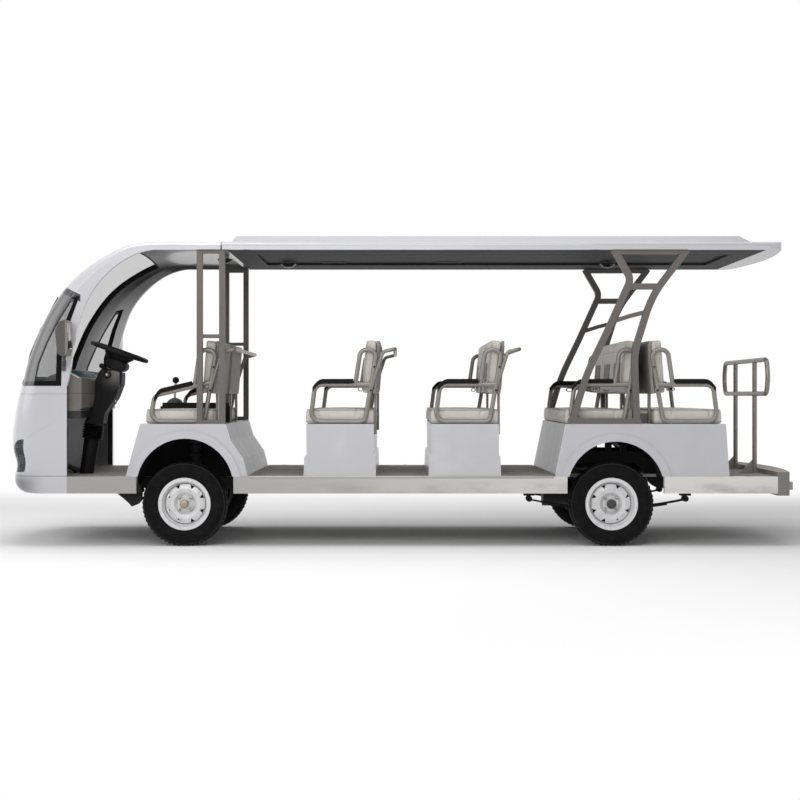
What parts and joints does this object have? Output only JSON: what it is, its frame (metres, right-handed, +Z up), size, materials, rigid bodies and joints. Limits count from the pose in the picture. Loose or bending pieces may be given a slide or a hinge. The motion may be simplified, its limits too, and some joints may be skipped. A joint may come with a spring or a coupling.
{
  "type": "open sightseeing vehicle",
  "caption": "Open-sided electric passenger vehicle with a moulded front cab, rows of bench seats under a long roof, rear platform and small steel wheels.",
  "frame": {"origin": "centre of the bounding box's base, on the ground", "axes": "+Z up, -X to the front of the vehicle, -Y to the driver's side"},
  "size_m": [5.2017, 1.816, 2.02],
  "materials": {
    "body_paint": "smooth gloss white paint",
    "sill_paint": "satin warm grey paint",
    "frame_tube": "satin light grey paint",
    "post_paint": "satin black paint",
    "dark_steel": "dull black chassis paint",
    "wheel_steel": "silver grey paint",
    "glazing": "clear laminated glass",
    "seal_rubber": "matt black rubber",
    "tyre_rubber": "dull black tyre rubber",
    "black_plastic": "fine grained black plastic",
    "grey_plastic": "satin mid grey plastic",
    "ceiling_plastic": "dark grey fine texture",
    "lamp_lens": "clear moulded lens over bright reflector",
    "tail_lens": "red moulded lens",
    "seat_trim": "light beige synthetic leather with dark insert",
    "deck_sheet": "dark grey ribbed floor sheet",
    "battery_case": "plain black case"
  },
  "bodies": {
    "chassis": {"armrest_pads": "black_plastic", "battery_pack": "battery_case", "cab_arch": "body_paint", "ceiling_panel": "ceiling_plastic", "chassis_frame": "dark_steel", "dashboard": "black_plastic", "driver_console": "black_plastic", "floor_deck": "deck_sheet", "front_cowl": "body_paint", "front_post_frames": "body_paint", "front_seat_box": "body_paint", "front_suspension": "dark_steel", "headlamps": "lamp_lens", "leaf_springs": "dark_steel", "middle_seat_bases": "grey_plastic", "mirrors": "black_plastic", "pedals": "dark_steel", "quarter_windows": "glazing", "rear_arch_frames": "body_paint", "rear_axle": "dark_steel", "rear_handrail": "frame_tube", "rear_seat_box": "body_paint", "rear_step": "body_paint", "roof_shell": "body_paint", "seat_backs": "seat_trim", "seat_cushions": "seat_trim", "seat_frames": "frame_tube", "side_sills": "sill_paint", "steering_column": "black_plastic", "tail_lamps": "tail_lens", "wheel_liners": "black_plastic", "window_seals": "seal_rubber", "windscreen": "glazing", "wiper": "post_paint"},
    "steering_wheel": {"steering_wheel": "black_plastic"},
    "knuckle_left": {"knuckle_left": "dark_steel"},
    "knuckle_right": {"knuckle_right": "dark_steel"},
    "wheel_front_left": {"rim_front_left": "wheel_steel", "tyre_front_left": "tyre_rubber"},
    "wheel_front_right": {"rim_front_right": "wheel_steel", "tyre_front_right": "tyre_rubber"},
    "wheel_rear_left": {"rim_rear_left": "wheel_steel", "tyre_rear_left": "tyre_rubber"},
    "wheel_rear_right": {"rim_rear_right": "wheel_steel", "tyre_rear_right": "tyre_rubber"}
  },
  "joints": [
    {"name": "steer_left", "type": "hinge", "parent": "chassis", "child": "knuckle_left", "pos_m": [-1.372, -0.56, 0.271], "axis": [0, 0, 1], "range_deg": [-30, 30]},
    {"name": "steer_right", "type": "hinge", "parent": "chassis", "child": "knuckle_right", "pos_m": [-1.372, 0.56, 0.271], "axis": [0, 0, 1], "range_deg": [-30, 30]},
    {"name": "steering_wheel_turn", "type": "hinge", "parent": "chassis", "child": "steering_wheel", "pos_m": [-1.855, -0.35, 1.264], "axis": [0.3305, 0, 0.9438], "range_deg": [-450, 450]},
    {"name": "wheel_front_left_spin", "type": "hinge", "parent": "knuckle_left", "child": "wheel_front_left", "pos_m": [-1.372, -0.62, 0.271], "axis": [0, 1, 0], "continuous": true},
    {"name": "wheel_front_right_spin", "type": "hinge", "parent": "knuckle_right", "child": "wheel_front_right", "pos_m": [-1.372, 0.62, 0.271], "axis": [0, 1, 0], "continuous": true},
    {"name": "wheel_rear_left_spin", "type": "hinge", "parent": "chassis", "child": "wheel_rear_left", "pos_m": [1.39, -0.62, 0.271], "axis": [0, 1, 0], "continuous": true},
    {"name": "wheel_rear_right_spin", "type": "hinge", "parent": "chassis", "child": "wheel_rear_right", "pos_m": [1.39, 0.62, 0.271], "axis": [0, 1, 0], "continuous": true}
  ],
  "couplings": [
    {"joint": "steer_right", "follows": "steer_left", "ratio": 1},
    {"joint": "steering_wheel_turn", "follows": "steer_left", "ratio": 15}
  ]
}
